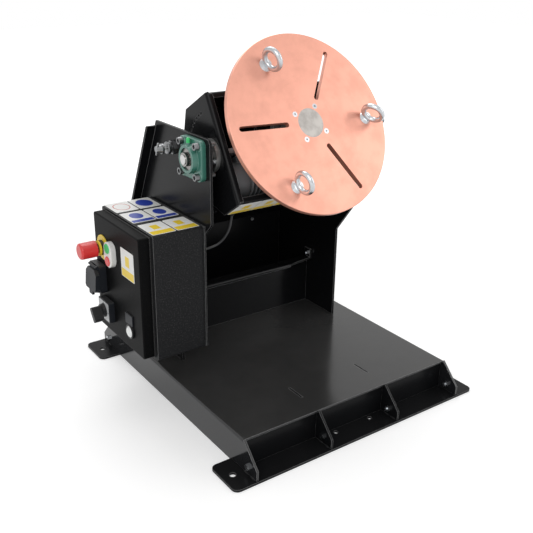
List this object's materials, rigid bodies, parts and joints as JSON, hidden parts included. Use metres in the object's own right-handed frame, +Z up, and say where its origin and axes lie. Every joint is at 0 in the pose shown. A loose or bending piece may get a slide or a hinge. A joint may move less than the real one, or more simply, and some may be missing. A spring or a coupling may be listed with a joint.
{
  "type": "welding positioner",
  "caption": "Bench welding positioner: a slotted round copper-coloured table with lifting eyes spins on a head that tilts between two uprights on a sheet-steel base.",
  "frame": {"origin": "floor level, at the centre of the rectangle of the four anchor holes", "axes": "+Z up, +Y to the rear (behind the tower), +X to the right along the front edge"},
  "size_m": [0.7854, 0.738, 0.8271],
  "materials": {
    "black_coat": "semi-gloss powder coat",
    "copper_plate": "copper-plated, satin, fine turned grain",
    "steel": "ground",
    "zinc": "bright zinc-plated",
    "green_cast": "green enamel on cast iron",
    "bearing_steel": "ground and hardened",
    "black_plastic": "moulded",
    "grey_plastic": "moulded",
    "dark_plastic": "moulded",
    "red_plastic": "moulded, satin",
    "yellow_plastic": "moulded",
    "green_plastic": "moulded",
    "white_plastic": "moulded",
    "lamp_white": "translucent white",
    "black_rubber": "smooth",
    "grey_cast": "die cast, painted grey",
    "galvanised": "galvanised sheet"
  },
  "bodies": {
    "stand": {"deck": "black_coat", "deck_ribs": "black_coat", "end_walls": "black_coat", "foot_plates": "black_coat", "frame_bolts": "zinc", "upright_left": "black_coat", "upright_right": "black_coat", "tower_back_panel": "black_coat", "lip_panel": "black_coat", "bearing_housings": "green_cast", "bearing_outer_rings": "bearing_steel", "bearing_bolts": "steel", "grease_nipples": "green_plastic", "plunger_sleeve": "steel", "enclosure_pad": "black_coat", "enclosure_body": "black_coat", "cable_glands": "black_plastic", "mounting_plate": "galvanised", "rail_devices": "dark_plastic", "speed_drive": "dark_plastic", "hinge_leaves_body": "black_coat", "motor_cable": "black_rubber"},
    "head": {"head_wrap": "black_coat", "head_side_left": "black_coat", "head_side_right": "black_coat", "head_shelves": "black_coat", "spindle_carrier": "black_coat", "spindle_housing": "grey_cast", "spindle_bearings": "bearing_steel", "head_screws": "zinc", "worm_gearbox": "grey_cast", "drive_motor": "grey_cast", "stub_shafts": "steel", "bearing_inner_rings": "bearing_steel", "head_gland": "black_plastic"},
    "table": {"faceplate": "copper_plate", "spindle": "steel", "hub_screws": "zinc", "eye_bolts": "zinc"},
    "door": {"door_panel": "black_coat", "door_gasket": "black_rubber", "hinge_leaves_door": "black_coat", "estop_plate": "yellow_plastic", "estop_collar": "yellow_plastic", "twin_bezel": "white_plastic", "socket_base": "dark_plastic", "switch_body": "grey_plastic", "lamp_bezel": "black_plastic", "lamp_lens": "lamp_white", "legend_holder": "dark_plastic", "contact_blocks": "grey_plastic"},
    "estop_button": {"estop_stem": "grey_plastic"},
    "estop_mushroom": {"estop_head": "red_plastic"},
    "start_button": {"start_button": "green_plastic"},
    "stop_button": {"stop_button": "red_plastic"},
    "socket_lid": {"socket_lid": "dark_plastic"},
    "switch_knob": {"switch_knob": "black_plastic"},
    "plunger": {"plunger_pin": "steel"},
    "plunger_handle": {"plunger_handle": "steel"}
  },
  "joints": [
    {"name": "tilt", "type": "hinge", "parent": "stand", "child": "head", "pos_m": [0, -0.049, 0.592], "axis": [1, 0, 0], "range_deg": [-60, 30], "deforming": ["motor_cable"]},
    {"name": "table_spin", "type": "hinge", "parent": "head", "child": "table", "pos_m": [0, -0.043, 0.60239], "axis": [0, -0.866, 0.5], "continuous": true},
    {"name": "door_hinge", "type": "hinge", "parent": "stand", "child": "door", "pos_m": [-0.3614, 0.159, 0.31], "axis": [0, 0, -1], "range_deg": [0, 120]},
    {"name": "estop_press", "type": "slide", "parent": "door", "child": "estop_button", "axis": [1, 0, 0], "range_m": [0, 0.0035]},
    {"name": "estop_twist", "type": "hinge", "parent": "estop_button", "child": "estop_mushroom", "pos_m": [-0.4034, 0.111, 0.37499], "axis": [1, 0, 0], "range_deg": [0, 30], "stiffness_Nm_per_rad": 0.05},
    {"name": "start_press", "type": "slide", "parent": "door", "child": "start_button", "axis": [1, 0, 0], "range_m": [0, 0.004], "stiffness_N_per_m": 300, "springref_m": -0.002},
    {"name": "stop_press", "type": "slide", "parent": "door", "child": "stop_button", "axis": [1, 0, 0], "range_m": [0, 0.004], "stiffness_N_per_m": 300, "springref_m": -0.002},
    {"name": "socket_lid_hinge", "type": "hinge", "parent": "door", "child": "socket_lid", "pos_m": [-0.4029, 0.131, 0.32792], "axis": [0, 1, 0], "range_deg": [0, 95], "stiffness_Nm_per_rad": 0.04, "springref_deg": -28.65},
    {"name": "switch_turn", "type": "hinge", "parent": "door", "child": "switch_knob", "pos_m": [-0.3964, 0.1, 0.22799], "axis": [1, 0, 0], "range_deg": [0, 90]},
    {"name": "plunger_push", "type": "slide", "parent": "stand", "child": "plunger", "axis": [1, 0, 0], "range_m": [0, 0.007]},
    {"name": "plunger_handle_turn", "type": "hinge", "parent": "plunger", "child": "plunger_handle", "pos_m": [-0.268, 0.04088, 0.59671], "axis": [1, 0, 0], "range_deg": [0, 90]}
  ]
}
